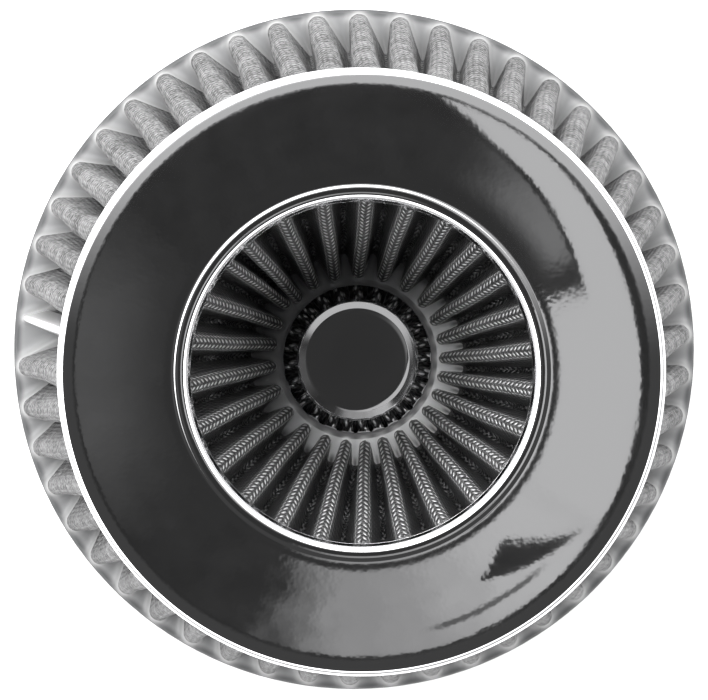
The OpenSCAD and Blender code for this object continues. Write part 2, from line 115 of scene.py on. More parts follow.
class Nodes:
    # short calls for the nodes of one tree

    def __init__(self, tree):
        self.tree = tree

    def feed(self, socket, value):
        # a link from another node's output, or a fixed value
        if isinstance(value, bpy.types.NodeSocket):
            self.tree.links.new(value, socket)
        else:
            socket.default_value = value

    def add(self, kind, **inputs):
        node = self.tree.nodes.new("ShaderNode" + kind)
        for key, value in inputs.items():
            if isinstance(value, bpy.types.NodeSocket) or key in node.inputs:
                self.feed(node.inputs[key], value)
            else:
                setattr(node, key, value)
        return node

    def math(self, operation, a, b=None, c=None, clamp=False):
        node = self.add("Math", operation=operation, use_clamp=clamp)
        for socket, value in zip(node.inputs, (a, b, c)):
            if value is not None:
                self.feed(socket, value)
        return node.outputs[0]

    def plus(self, a, b):
        return self.math("ADD", a, b)

    def minus(self, a, b):
        return self.math("SUBTRACT", a, b)

    def scaled(self, value, factor, offset, clamp=False):
        # value * factor + offset
        return self.math("MULTIPLY_ADD", value, factor, offset, clamp)

    def times(self, *values):
        total = values[0]
        for value in values[1:]:
            total = self.math("MULTIPLY", total, value)
        return total

    def distance(self, x, y):
        # square root of x * x + y * y
        return self.math("POWER", self.plus(self.times(x, x), self.times(y, y)), 0.5)

    def step(self, value, start, end):
        # smooth rise from 0 at start to 1 at end, or a fall where start is the larger
        falls = start > end
        node = self.add("MapRange", interpolation_type="SMOOTHSTEP")
        limits = (end, start, 1.0, 0.0) if falls else (start, end, 0.0, 1.0)
        for socket, setting in zip(node.inputs, (value, *limits)):
            self.feed(socket, setting)
        return node.outputs[0]

    def between(self, value, start, end, soft):
        # 1 from start to end, falling to 0 outside them
        rise = self.step(value, start - soft, start + soft)
        return self.times(rise, self.step(value, end + soft, end - soft))

    def noise(self, vector, scale, detail, roughness, stretch=None):
        if stretch:
            vector = self.add("Mapping", Vector=vector, Scale=stretch).outputs[0]
        return self.add("TexNoise", Vector=vector, Scale=scale, Detail=detail, Roughness=roughness).outputs[0]

    def mix(self, factor, a, b):
        # a colour between a and b
        node = self.add("Mix", data_type="RGBA")
        self.feed(node.inputs[0], factor)
        for socket, value in zip([s for s in node.inputs if s.type == "RGBA"], (a, b)):
            self.feed(socket, (*value, 1) if isinstance(value, tuple) else value)
        return [s for s in node.outputs if s.type == "RGBA"][0]

    def blend(self, factor, a, b):
        # a number between a and b
        node = self.add("Mix", data_type="FLOAT")
        for socket, value in zip((node.inputs[0], node.inputs[2], node.inputs[3]), (factor, a, b)):
            self.feed(socket, value)
        return node.outputs[0]


class Finish(Nodes):
    # one material on a Principled shader

    sockets = {"color": "Base Color", "metallic": "Metallic", "roughness": "Roughness", "normal": "Normal",
               "specular": "Specular IOR Level"}

    def __init__(self, name, **values):
        self.material = bpy.data.materials.new(name)
        self.material.use_nodes = True
        super().__init__(self.material.node_tree)
        self.shader = self.tree.nodes["Principled BSDF"]
        for key, value in values.items():
            self.put(key, value)

    def put(self, key, value):
        socket = self.shader.inputs[self.sockets[key]]
        self.feed(socket, (*value, 1) if isinstance(value, tuple) else value)

    def bump(self, height, distance, strength=1.0, under=None):
        # a height in metres over the shader's normal, or over an earlier bump's
        node = self.add("Bump", Height=height, Distance=distance, Strength=strength)
        if under is not None:
            self.feed(node.inputs["Normal"], under)
        self.put("normal", node.outputs[0])

    def objectPoint(self):
        return self.add("TexCoord").outputs["Object"]


# floor, light and camera

stageSettings = {
    "floorSize": 12,                             # metres
    "floorColor": (0.75, 0.75, 0.75),
    "floorRoughness": 0.8,
    "camera": (-0.01351, 0.04164, 1.18444),      # metres
    "cameraTurn": (-0.03630, -0.01174, 0.0),
    "lens": 260.96,
    "clip": (0.05, 50),
}


def makeStage(s):
    bpy.ops.mesh.primitive_plane_add(size=s["floorSize"])
    floor = bpy.context.object
    floor.name = "floor"
    paper = Finish("floorPaper", color=s["floorColor"], roughness=s["floorRoughness"])
    floor.data.materials.append(paper.material)
    data = bpy.data.cameras.new("camera")
    data.lens = s["lens"]
    data.clip_start, data.clip_end = s["clip"]
    camera = bpy.data.objects.new("camera", data)
    camera.location = s["camera"]
    camera.rotation_euler = s["cameraTurn"]
    scene = bpy.context.scene
    scene.collection.objects.link(camera)
    scene.camera = camera
    scene.view_settings.view_transform = "Standard"
    scene.view_settings.look = "None"


# a slope is the tangent of the angle from the zenith, and a turn is a direction in degrees, 0 at the
# photograph's right and 90 at its top; an edge is (turn, slope, degrees for each unit of slope)
studioSettings = {
    "middle": (0.013, -0.041),       # x / z and y / z where the flat part of the ring mirrors the light
    "lamps": 6.5,                    # bright band of the tent
    "walls": 0.95,                   # the tent's walls near the horizon
    "wallStart": (1.0, 2.2),         # slopes between which the lamps give way to the walls
    "tentStart": 0.65,               # slope at which the lamps start, on average
    "tentLean": 0.15,                # how much sooner they start on the bright side, and later opposite
    "tentSoft": 0.08,
    "brightSide": 120,
    "uneven": 0.5,                   # share by which the tent is brighter there, and darker opposite
    "overhead": 0.036,               # dark cloth round the camera
    "overheadEnd": (0.05, 0.06),     # slopes between which it starts to show card and folds
    "streaks": {"turn": 0.05, "slope": 3.0, "noise": (3, 3, 0.6), "shade": 0.03, "fray": 20.0},
    "card": {"shade": 0.56, "sides": (-33, 20), "edges": ((20, 0.165, 570), (60, 0.2355, 219))},
    "patch": {"shade": 0.16, "turn": (70, 36), "past": (5, 12), "slope": (0.06, 0.14)},
    "lit": {"turn": (-116, -92), "end": (0, -40), "shade": 0.28, "more": 0.24, "moreTurn": (-90, -44)},
    "wedge": {"left": ((-50, 0.11, -163), (-60, 0.1715, 272)), "right": (-50, 0.11, 92.6),
              "slope": (0.1, 0.115)},
    "cut": 1,                        # half the softness of a cut edge of card or wedge, in degrees
    "horizon": 0.02,                 # least height of a direction, so that its slope stays finite
    "fold": {"shade": 0.8, "turn": (-74, -48, 3), "slope": (0.235, 0.25, 0.004)},
    "far": {"shade": 0.06, "turn": (140, 172), "slope": (0.0, 0.28)},
    "crescent": {"shade": 0.03, "turn": 20, "squeeze": 2.5, "depth": 0.02, "slope": (0.295, 0.299)},
    "strip": {"shade": 0.06, "more": 0.5, "turn": 85, "reach": (-62, 68, 22), "slope": (0.3, 0.314)},
}


def makeStudio(s):
    # the light is a white tent with a dark cloth overhead, in which a grey card hangs beside the
    # camera; slope and turn are polar coordinates round the middle
    world = bpy.data.worlds.new("studio")
    bpy.context.scene.world = world
    world.use_nodes = True
    n = Nodes(world.node_tree)
    x, y, z = n.add("SeparateXYZ", Vector=n.add("TexCoord").outputs["Generated"]).outputs
    z = n.math("MAXIMUM", z, s["horizon"])
    u, v = (n.minus(n.math("DIVIDE", value, z), middle) for value, middle in zip((x, y), s["middle"]))
    slope = n.distance(u, v)
    turn = n.times(n.math("ARCTAN2", v, u), math.degrees(1))

    def line(start, where, rate):
        # direction of a straight edge: start at one slope, plus rate times the slope beyond it
        return n.scaled(slope, rate, start - where * rate)

    # the card's upper edge turns away as the slope grows; the cloth is frayed by noise along the turn
    card, patch, streaks = s["card"], s["patch"], s["streaks"]
    low, high = card["sides"]
    first, second = (line(*edge) for edge in card["edges"])
    edge = n.math("MINIMUM", n.math("MAXIMUM", first, high), second)
    past, cut = n.minus(turn, edge), s["cut"]
    cardArea = n.times(n.step(turn, low - 2 * cut, low + 2 * cut), n.step(past, cut, -cut))
    place = n.add("CombineXYZ", X=n.times(turn, streaks["turn"]), Y=n.times(slope, streaks["slope"]))
    streak = n.noise(place.outputs[0], *streaks["noise"])
    frayed = n.scaled(streak, streaks["fray"], n.minus(turn, streaks["fray"] / 2))
    patchShade = n.times(n.step(frayed, *patch["turn"]), n.step(past, *patch["past"]),
                         n.step(slope, *patch["slope"]), patch["shade"])

    # cloth that is lit beside the card's other edge, with a dark wedge and a thin dark fold in it
    lit, wedge, fold, far = s["lit"], s["wedge"], s["fold"], s["far"]
    litShade = n.times(n.step(frayed, *lit["turn"]), n.step(turn, *lit["end"]),
                       n.scaled(n.step(frayed, *lit["moreTurn"]), lit["more"], lit["shade"]))
    left = n.math("MAXIMUM", *(line(*edge) for edge in wedge["left"]))
    pastLeft, pastRight = n.minus(turn, left), n.minus(turn, line(*wedge["right"]))
    wedgeArea = n.times(n.step(pastLeft, -cut, cut), n.step(pastRight, cut, -cut),
                        n.step(slope, *wedge["slope"]))
    foldArea = n.times(n.between(turn, *fold["turn"]), n.between(slope, *fold["slope"]), fold["shade"])
    litShade = n.times(litShade, n.minus(1.0, n.math("MAXIMUM", wedgeArea, foldArea)))
    farArea = n.times(n.step(n.math("ABSOLUTE", turn), *far["turn"]), n.step(slope, *far["slope"]))
    farShade = n.times(farArea, far["shade"])
    cloth = n.scaled(streak, streaks["shade"], s["overhead"] - streaks["shade"] / 2)
    cloth = n.plus(n.plus(cloth, farShade), n.math("MAXIMUM", patchShade, litShade))
    shade = n.blend(cardArea, cloth, card["shade"])
    shade = n.blend(n.step(slope, *s["overheadEnd"]), s["overhead"], shade)

    # dark crescent between the card and the tent: its depth falls by the square of the cosine of the
    # angle from its middle, which counts more on one side
    crescent, strip = s["crescent"], s["strip"]
    aside = n.math("MAXIMUM", n.times(n.minus(turn, crescent["turn"]), crescent["squeeze"]),
                   n.minus(crescent["turn"], turn))
    bulge = n.math("COSINE", n.times(n.math("MINIMUM", aside, 90.0), math.radians(1)))
    crescentArea = n.step(n.scaled(n.times(bulge, bulge), crescent["depth"], slope), *crescent["slope"])
    shade = n.blend(crescentArea, shade, crescent["shade"])

    # grey edge of the tent round the cloth, lighter at the photograph's upper right, then the tent
    lighter = n.between(n.minus(turn, strip["turn"]), *strip["reach"])
    stripShade = n.scaled(lighter, strip["more"], strip["shade"])
    shade = n.blend(n.step(slope, *strip["slope"]), shade, stripShade)
    upward = n.math("COSINE", n.scaled(turn, math.radians(1), -math.radians(s["brightSide"])))
    tent = n.blend(n.step(slope, *s["wallStart"]), s["lamps"], s["walls"])
    tent = n.times(tent, n.scaled(upward, s["uneven"], 1.0))
    inside = n.minus(slope, n.scaled(upward, -s["tentLean"], s["tentStart"]))
    shade = n.blend(n.step(inside, -s["tentSoft"], s["tentSoft"]), shade, tent)
    background = world.node_tree.nodes["Background"]
    n.feed(background.inputs["Strength"], shade)
    n.feed(background.inputs["Color"], (1, 1, 1, 1))


makeStage(stageSettings)
makeStudio(studioSettings)
print("stage: done")


# chromed ring and button

ringShape = {
    "throat": 34.1, "outer": 60.75, "crest": 165.0, "skin": 0.8,
    "lipEnd": 157.5, "skirtEnd": 150.7,          # heights of the two cut edges
    "rollR": 2.0, "beadRise": 0.2, "beadLand": 0.4, "beadSlope": 1.5,
    "domeFall": 1.2, "shoulder": 57.7, "shoulderSlope": 0.2, "rimR": 1.5,
    "keep": 0.1,                                 # short spans at the cut edges keep the shine true
    "segments": 360,
}


def ringProfile(s):
    # lip, roll into the throat, low bead whose slope is two arcs, shallow domed face, rounded rim and
    # skirt, then back along the inside; all are offset by the skin at right angles to the metal
    rollX = s["throat"] + s["rollR"]
    slopeX = rollX + s["beadLand"]
    hollowX = slopeX + s["beadSlope"]
    rollZ = s["crest"] - s["rollR"]
    faceIn = s["crest"] - s["beadRise"]
    turn = 2 * math.degrees(math.atan(s["beadRise"] / s["beadSlope"]))
    slopeR = s["beadSlope"] / 2 / math.sin(math.radians(turn))
    rimX = s["outer"] - s["rimR"]
    tilt = math.atan(s["shoulderSlope"])
    shoulder = s["shoulder"]
    shoulderZ = faceIn - s["domeFall"]
    faceSlope = 2 * s["domeFall"] / (shoulder - hollowX)
    faceEnd = rimX + s["rimR"] * math.sin(tilt)
    endZ = shoulderZ - (faceSlope + s["shoulderSlope"]) / 2 * (faceEnd - shoulder)
    rimZ = endZ - s["rimR"] * math.cos(tilt)
    rate = (s["shoulderSlope"] - faceSlope) / (faceEnd - shoulder)

    def section(depth):
        # the face falls as a parabola to the shoulder, then steepens evenly to the rim
        dome = np.linspace(hollowX, shoulder, 40)[1:-1]
        r = np.concatenate([dome, np.linspace(shoulder, faceEnd, 9)[:-1]])
        part = (r - hollowX) / (shoulder - hollowX)
        over = np.maximum(r - shoulder, 0)
        slope = np.arctan(np.where(over > 0, faceSlope + rate * over, faceSlope * part))
        z = np.where(over > 0, shoulderZ - faceSlope * over - rate * over ** 2 / 2,
                     faceIn - s["domeFall"] * part ** 2)
        face = np.stack([r - depth * np.sin(slope), z - depth * np.cos(slope)], -1)
        return np.concatenate([arc(rollX, rollZ, s["rollR"] - depth, 180, 90, 24),
                               arc(slopeX, s["crest"] - slopeR, slopeR - depth, 90, 90 - turn, 8),
                               arc(hollowX, faceIn + slopeR, slopeR + depth, 270 - turn, 270, 8)[1:],
                               face,
                               arc(rimX, rimZ, s["rimR"] - depth, 90 - math.degrees(tilt), 0, 18)])

    lip = [[s["throat"], s["lipEnd"]], [s["throat"], s["lipEnd"] + s["keep"]]]
    skirt = [[s["outer"], s["skirtEnd"] + s["keep"]], [s["outer"], s["skirtEnd"]],
             [s["outer"] - s["skin"], s["skirtEnd"]]]
    lipInside = [[s["throat"] + s["skin"], s["lipEnd"]]]
    return np.concatenate([lip, section(0), skirt, section(s["skin"])[::-1], lipInside])


buttonShape = {
    "topR": 12.7, "footR": 15.8, "top": 98.0, "foot": 92.2, "skin": 0.8,
    "edgeR": 0.3, "bevelWidth": 1.4, "bevelFall": 0.2, "flankR": 1.0, "flare": 40,
    "lean": 0.03, "leanAngle": 60,               # the top falls by this share towards this side
    "bevelPoints": (0.03, 0.2, 0.5, 0.8, 0.97),  # close points near the bends keep the shine true
    "flarePoints": (0.02, 0.25, 0.5, 0.75, 0.97, 1.0),
    "segments": 192,
}


def buttonProfile(s):
    # level top, shallow bevel, rounded edge, straight wall and flared foot, then back along the inside
    flare = math.radians(s["flare"])
    flareIn = s["topR"] + s["flankR"] * (1 - math.sin(flare))
    flankZ = s["foot"] + (s["footR"] - flareIn) * math.tan(flare) + s["flankR"] * math.cos(flare)
    bevelEnd = s["topR"] - s["edgeR"]
    bevelStart = bevelEnd - s["bevelWidth"]

    def along(start, end, shares):
        shares = np.array(shares)[:, None]
        return np.array([start]) * (1 - shares) + np.array([end]) * shares

    def section(depth):
        top, edgeTop = s["top"] - depth, s["top"] - s["bevelFall"] - depth
        edgeR = max(s["edgeR"] - depth, 0.05)
        level = np.linspace(0, bevelStart, 12)
        flank = arc(s["topR"] + s["flankR"], flankZ, s["flankR"] + depth, 180, 270 - s["flare"], 10)
        end = [s["footR"] - depth / math.sin(flare), s["foot"]]
        return np.concatenate([np.stack([level, np.full(12, top)], -1),
                               along([bevelStart, top], [bevelEnd, edgeTop], s["bevelPoints"]),
                               arc(s["topR"] - depth - edgeR, edgeTop - edgeR, edgeR, 75, 0, 10),
                               flank, along(flank[-1], end, s["flarePoints"])])

    return np.concatenate([section(0), section(s["skin"])[::-1]])


def leanButton(piece, s):
    # the top isn't quite level: it falls towards one side, less and less down to the foot
    points = np.empty(len(piece.data.vertices) * 3)
    piece.data.vertices.foreach_get("co", points)
    points = points.reshape(-1, 3)
    share = np.clip((points[:, 2] / mm - s["foot"]) / (s["top"] - s["foot"]), 0, 1)
    points[:, 2] -= s["lean"] * share * (points[:, :2] @ polar(1, s["leanAngle"]))
    piece.data.vertices.foreach_set("co", points.reshape(-1))
    piece.data.update()


chromeLook = {
    "color": (0.78, 0.78, 0.79),
    "roughness": 0.03, "smudge": 0.05,
    "ripple": 3e-6, "wave": 9e-6,                # heights in metres
    "smudgeNoise": (60, 4, 0.6), "waveNoise": (80, 1.0, 0.4), "rippleNoise": (700, 1.0, 0.5),
}


def makeChrome(name, s, share):
    # polished plate, whose fine ripple jags the edges that it mirrors; share is how rippled it is
    f = Finish(name, color=s["color"], metallic=1.0)
    point = f.objectPoint()
    f.put("roughness", f.scaled(f.noise(point, *s["smudgeNoise"]), s["smudge"], s["roughness"] - 0.02))
    wave = f.add("Bump", Height=f.noise(point, *s["waveNoise"]), Distance=s["wave"])
    f.bump(f.noise(point, *s["rippleNoise"]), s["ripple"] * share, 1.0, wave.outputs[0])
    return f.material


chrome = makeChrome("chromePlate", chromeLook, 1.0)
buttonChrome = makeChrome("buttonPlate", chromeLook, 0.2)
topRing = lathe("topRing", ringProfile(ringShape), ringShape["segments"])
topRing.data.materials.append(chrome)
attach(topRing, "filter")
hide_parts("top_ring")
hubButton = lathe("hubButton", buttonProfile(buttonShape), buttonShape["segments"])
hubButton.data.materials.append(buttonChrome)
leanButton(hubButton, buttonShape)
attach(hubButton, "filter")
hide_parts("hub_button")
print("chromed pieces: done")


# pleats

def sideAngle(outer, inner):
    # direction of the normal of the flat side that touches both fold circles, one on each side of
    # it, measured from the outer fold's own direction; a fold is (direction, distance, radius)
    d = polar(inner[..., 1], np.abs(inner[..., 0] - outer[..., 0]))
    dx, dy = d[..., 0] - outer[..., 1], d[..., 1]
    lean = np.degrees(np.arccos((outer[..., 2] + inner[..., 2]) / np.hypot(dx, dy)))
    return np.degrees(np.arctan2(dy, dx)) - lean


def pleatLoop(outers, inners, steps):
    # one face of the gauze at one level: fold arc, straight side, fold arc, straight side, for every
    # pleat; returns points (pleats, points of a pleat, 2)
    outerSteps, flatSteps, innerSteps = steps
    turn = np.array([360.0, 0, 0])
    last = np.concatenate([inners[-1:] - turn, inners[:-1]])
    following = np.concatenate([outers[1:], outers[:1] + turn])
    before, after, beyond = sideAngle(outers, last), sideAngle(outers, inners), sideAngle(following, inners)

    def foldArc(fold, start, end, count):
        a = start[:, None] + (end - start)[:, None] * np.linspace(0, 1, count + 1)
        return polar(fold[:, 1], fold[:, 0])[:, None] + polar(fold[:, 2][:, None], a)

    ridge = foldArc(outers, outers[:, 0] - before, outers[:, 0] + after, outerSteps)
    root = foldArc(inners, outers[:, 0] + after + 180, following[:, 0] - beyond + 180, innerSteps)
    nextRidge = np.roll(ridge[:, 0], -1, axis=0)
    t = np.linspace(0, 1, flatSteps + 1)[1:-1][:, None]
    down = ridge[:, -1][:, None] * (1 - t) + root[:, 0][:, None] * t
    up = root[:, -1][:, None] * (1 - t) + nextRidge[:, None] * t
    return np.concatenate([ridge, down, root, up], 1)


def sway(face, z, s):
    # slow sideways waves that differ from pleat to pleat, held at foot and head: size times the
    # sine of (rate * height + the pleat's own phase), times the sine of the share of the height
    seed, size, rate = s["sway"]
    hold = np.sin(np.pi * (z - s["foot"]) / (s["head"] - s["foot"]))[:, None, None]
    phase = np.random.default_rng(seed).uniform(0, 6.28, s["count"])[None, :, None]
    shift = hold * size * np.sin(z[:, None, None] * rate + phase)
    away = face / np.linalg.norm(face, axis=-1)[..., None]
    return np.stack([-away[..., 1], away[..., 0]], -1) * shift[..., None]


def pleatWall(name, s, foot, head, crest):
    # closed wall between an outside and an inside face, each carried straight from foot to head;
    # crest is the point of a pleat that the weave is measured from
    pleats, count = foot[0].shape[:2]
    cols, rows = pleats * count, 2 * s["levels"]
    up = np.linspace(0, 1, s["levels"])
    t = up[:, None, None, None]
    outside = foot[0] * (1 - t) + head[0] * t
    inside = foot[1] * (1 - t[::-1]) + head[1] * t[::-1]
    face = np.concatenate([outside, inside])                # up the outside, down the inside
    rise = s["head"] - s["foot"]
    z = s["foot"] + rise * np.concatenate([up, up[::-1]])
    face = face + sway(face, z, s)
    height = np.broadcast_to(z[:, None, None, None], face.shape[:3] + (1,))
    verts = np.concatenate([face, height], -1).reshape(rows, cols, 3) * mm
    faces = gridFaces(rows, cols, True, True)

    # the weave's place is the distance along the cloth from the crest of each pleat, with both ends
    # of the pleat kept, and the distance up the slant of the wall
    start = (crest + count // 2) % count
    rolled = np.roll(face.reshape(rows, cols, 2), -start, axis=1)
    spans = np.linalg.norm(np.roll(rolled, -1, axis=1) - rolled, axis=-1).reshape(rows, pleats, count)
    run = np.concatenate([np.zeros((rows, pleats, 1)), np.cumsum(spans, -1)], -1)
    middle = (crest - start) % count
    run = run - run[:, :, middle:middle + 1]
    slant = np.hypot(rise, np.linalg.norm(head[0].mean(1)[0] - foot[0].mean(1)[0])) / rise
    left, right = (np.roll(part.reshape(rows, -1), start, axis=1) for part in (run[:, :, :-1], run[:, :, 1:]))
    along = np.broadcast_to(((z - s["foot"]) * slant)[:, None], left.shape)
    leftAbove, rightAbove, alongAbove = (np.roll(part, -1, axis=0) for part in (left, right, along))
    corners = (left, along), (right, along), (rightAbove, alongAbove), (leftAbove, alongAbove)
    uvs = np.stack([np.stack(corner, -1) for corner in corners], 2).reshape(-1, 4, 2) * mm
    turned = outward(verts, faces)
    return makeObject(name, verts, [turned], uvs if turned is faces else uvs[:, ::-1])


outerPleats = {
    "count": 50, "wall": 1.4, "foot": 39.0, "head": 158.0, "levels": 30,
    "footR": 75.1, "footDepth": 10.0, "footFold": 1.5,
    "headR": 58.374, "headDepth": 10.574,
    "headFill": 0.96,                            # under the ring the pleats fill nearly all their pitch
    "rootR": 1.15,
    "footLean": 0.22,                            # share of a pitch by which the roots stand aside
    "twist": -1.4,                               # degrees that the head is turned on the foot
    "seamAngle": 174.4, "seamShift": 1.2, "seamDepth": 13.0, "seamWidth": 1.5, "seamSheet": 0.3,
    "seamGap": 0.12, "seamSetBack": 0.9, "seamInside": 1.6,
    "steps": (10, 5, 5),                         # spans of a ridge, a side and a root
    "sway": (5, 0.25, 0.07),                     # seed, size in mm, radians for each mm of height
}


def makeOuterPleats(s):
    # ridges and roots stand at an even pitch, but for the seam and the roots beside it
    k = np.arange(s["count"])
    pitch = 360 / s["count"]
    half = s["wall"] / 2
    notSeam = k > 0
    plain = (k > 0) & (k < len(k) - 1)                      # roots that don't touch the seam's pleat

    def folds(ridgeR, rootR, besideR, foldR, turn, lean, side):
        # side is 1 on the outside of the wall and -1 on its inside
        start = s["seamAngle"] + turn
        ridges = np.stack([start + k * pitch + np.where(notSeam, s["seamShift"], 0),
                           np.full(len(k), ridgeR - half - foldR), np.full(len(k), foldR + side * half)], -1)
        seamR = ridgeR - s["seamSetBack"] - s["seamWidth"] / 2
        fold = s["seamWidth"] / 2 - s["seamSheet"] - s["seamGap"]
        ridges[0, 1:] = (seamR, fold) if side > 0 else (seamR - s["seamInside"], fold / 2)
        roots = np.stack([start + (k + 0.5) * pitch + np.where(plain, s["seamShift"] - lean * pitch, 0),
                          np.where(plain, rootR, besideR) + half + s["rootR"],
                          np.full(len(k), s["rootR"] - side * half)], -1)
        return pleatLoop(ridges, roots, s["steps"])

    share = s["headFill"] * math.sin(math.radians(pitch / 2))
    headFold = s["headR"] * share / (1 + share) - half
    footRoot, besideSeam = s["footR"] - s["footDepth"], s["footR"] - s["seamDepth"]
    foot = s["footR"], footRoot, besideSeam, s["footFold"], 0.0, s["footLean"]
    headRoot = s["headR"] - s["headDepth"]
    head = s["headR"], headRoot, headRoot, headFold, s["twist"], 0.0
    crest = s["steps"][0] // 2                              # middle of the ridge
    return pleatWall("outerPleats", s, (folds(*foot, 1), folds(*foot, -1)),
                     (folds(*head, 1), folds(*head, -1)), crest)


innerPleats = {
    "count": 26, "wall": 1.1, "foot": 92.2, "head": 158.0, "levels": 26,
    "footR": 17.2, "footDepth": 6.5, "footFold": 0.7,
    "headR": 35.2, "headDepth": 11.0, "headFold": 1.05, "rootR": 1.25,
    "seamAngle": 142.0, "setBack": 0.9, "seamFold": 0.04,
    "squeeze": 8.8,                              # degrees between the seam and the pleat it leans on
    "footWaves": ((6.3, 132), (2.4, 168), (1.5, 15)),       # size and phase in degrees
    "headWaves": ((2.4, 94), (0.8, 3)),
    "steps": (6, 6, 12),
    "sway": (9, 0.12, 0.1),
}


def innerAngles(s, waves):
    # an even row that ends at the seam, bunched by waves that go once, twice and three times round
    n = s["count"]
    even = s["seamAngle"] - s["squeeze"] - (n - 1 - np.arange(1, n + 1)) * (360 - s["squeeze"]) / (n - 1)
    even[-1] = s["seamAngle"]
    return even + sum(size * np.cos(np.radians(times * even + phase))
                      for times, (size, phase) in enumerate(waves, 1))


def makeInnerPleats(s):
    # the ridges face the axis; the last one is the seam, a thin fold that stands back
    n, half = s["count"], s["wall"] / 2

    def folds(r, depth, fold, waves, side):
        angle = innerAngles(s, waves)
        middle = (np.concatenate([[angle[-1] - 360], angle[:-1]]) + angle) / 2
        ridges = np.stack([angle, np.full(n, r + half + fold), np.full(n, fold - side * half)], -1)
        seam = half + s["seamFold"]
        ridges[-1, 1:] = r + s["setBack"] + half + seam, seam - side * half
        roots = np.stack([middle, np.full(n, r + depth - half - s["rootR"]),
                          np.full(n, s["rootR"] + side * half)], -1)
        return pleatLoop(roots, ridges, s["steps"])

    foot = s["footR"], s["footDepth"], s["footFold"], s["footWaves"]
    head = s["headR"], s["headDepth"], s["headFold"], s["headWaves"]
    rootSteps, flatSteps, ridgeSteps = s["steps"]
    crest = rootSteps + flatSteps + ridgeSteps // 2         # middle of the fold that faces the axis
    return pleatWall("innerPleats", s, (folds(*foot, 1), folds(*foot, -1)),
                     (folds(*head, 1), folds(*head, -1)), crest)


weave = {
    "slant": 0.55,
    "drift": 1.8 * mm, "driftNoise": (240, 2, 0.6),         # how far noise moves the rows
    "sharp": 1.4, "wires": 1.25 * mm, "wireDepth": 0.35,
    "second": 0.5, "secondSharp": 3.0,                      # lower rows between the first ones
    "crestWidth": (0.02 * mm, 0.4 * mm),
}
gauzeLook = {
    "pitch": 3.6 * mm, "crest": 0.0, "raise": 0.0007, "roughness": 0.75, "specular": 0.35,
    "light": 0.27, "dark": 0.014, "rise": (0.1, 0.6),
    "fuzz": (1100, 3, 0.75, (1.0, 0.35, 1.0)), "fuzzTone": 2.6, "fuzzHeight": 0.5,
    "patch": (90, 3, 0.65), "patchTone": (1.3, -0.42),
}
strandLook = {
    "pitch": 2.7 * mm, "crest": 0.4, "raise": 0.0007, "roughness": 0.33, "metal": 0.55,
    # away from the crest the cloth and wires are painted darker: painted shade deep between the pleats
    "wire": (0.88, 0.88, 0.89), "gap": (0.002, 0.03),       # cloth far from the crest and near it
    "reach": (3.4 * mm, 1.3 * mm), "shadedFarWire": 0.15, "rise": (0.2, 0.62),
    "grain": (1400, 2, 0.6), "grainTone": (1.1, 0.45), "grainHeight": 0.2,
}


def strandHeight(f, s, w, place, point):
    # strands that stand like the grains of an ear of wheat on each pleat: slanted rows on both sides
    # of its crest, half a pitch apart, crossed by wires along the pleat; a row's height is a cosine
    # of (distance along the pleat - slant * distance from the crest) / pitch
    across, along, _ = f.add("SeparateXYZ", Vector=place).outputs
    along = f.scaled(f.noise(point, *w["driftNoise"]), w["drift"], along)
    away = f.math("ABSOLUTE", across)
    side = f.math("GREATER_THAN", across, 0.0)
    row = f.math("DIVIDE", f.minus(along, f.times(away, w["slant"])), s["pitch"])
    row = f.scaled(side, 0.5, row)
    wave = f.scaled(f.math("COSINE", f.times(row, 2 * math.pi)), 0.5, 0.5)
    strand = f.math("POWER", wave, w["sharp"])
    column = f.math("COSINE", f.times(away, 2 * math.pi / w["wires"]))
    column = f.scaled(column, -w["wireDepth"], 1 - w["wireDepth"])
    second = f.times(f.math("POWER", f.minus(1.0, wave), w["secondSharp"]), f.minus(1.0, column), w["second"])
    crest = f.scaled(f.step(away, *w["crestWidth"]), s["crest"], 1 - s["crest"])
    return f.times(f.plus(f.times(strand, column), second), crest), away


def makeOuterGauze(s):
    # cotton gauze that bulges through a knitted wire screen, with fuzz and soiled patches
    f = Finish("outerGauze", roughness=s["roughness"], specular=s["specular"])
    place = f.add("UVMap", uv_map="cloth").outputs[0]
    point = f.objectPoint()
    height, _ = strandHeight(f, s, weave, place, point)
    fuzz = f.noise(place, *s["fuzz"])
    patch = f.noise(point, *s["patch"])
    tone = f.scaled(f.step(height, *s["rise"]), 0.5, f.times(f.minus(fuzz, 0.5), s["fuzzTone"]))
    tone = f.math("ADD", tone, f.scaled(patch, *s["patchTone"]), clamp=True)
    low, high = s["dark"], s["light"]
    f.put("color", f.mix(tone, (low, low, low * 1.02), (high, high, high * 1.01)))
    f.bump(f.plus(height, f.times(fuzz, s["fuzzHeight"])), s["raise"])
    return f.material


def makeInnerScreen(s):
    # bright wires in front of dark cloth, with painted shade deep between the pleats
    f = Finish("innerScreen", roughness=s["roughness"])
    place = f.add("UVMap", uv_map="cloth").outputs[0]
    point = f.objectPoint()
    height, away = strandHeight(f, s, weave, place, point)
    grain = f.noise(point, *s["grain"])
    bright = f.math("MULTIPLY", f.step(height, *s["rise"]), f.scaled(grain, *s["grainTone"]), clamp=True)
    # painted shade: cloth and wires darken away from the crest, down between the pleats
    near = f.step(away, *s["reach"])
    bright = f.times(bright, f.scaled(near, 1 - s["shadedFarWire"], s["shadedFarWire"]))
    gap = f.mix(near, *((value, value, value) for value in s["gap"]))
    f.put("color", f.mix(bright, gap, s["wire"]))
    f.put("metallic", f.times(bright, s["metal"]))
    f.bump(f.plus(height, f.times(grain, s["grainHeight"])), s["raise"])
    return f.material


outerScreen = makeOuterGauze(gauzeLook)
innerScreen = makeInnerScreen(strandLook)
outerCloth = makeOuterPleats(outerPleats)
outerCloth.data.materials.append(outerScreen)
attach(outerCloth, "filter")
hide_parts("outer_media")
innerCloth = makeInnerPleats(innerPleats)
innerCloth.data.materials.append(innerScreen)
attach(innerCloth, "filter")
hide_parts("inner_media")
print("pleats: done")


# mouldings and clamp

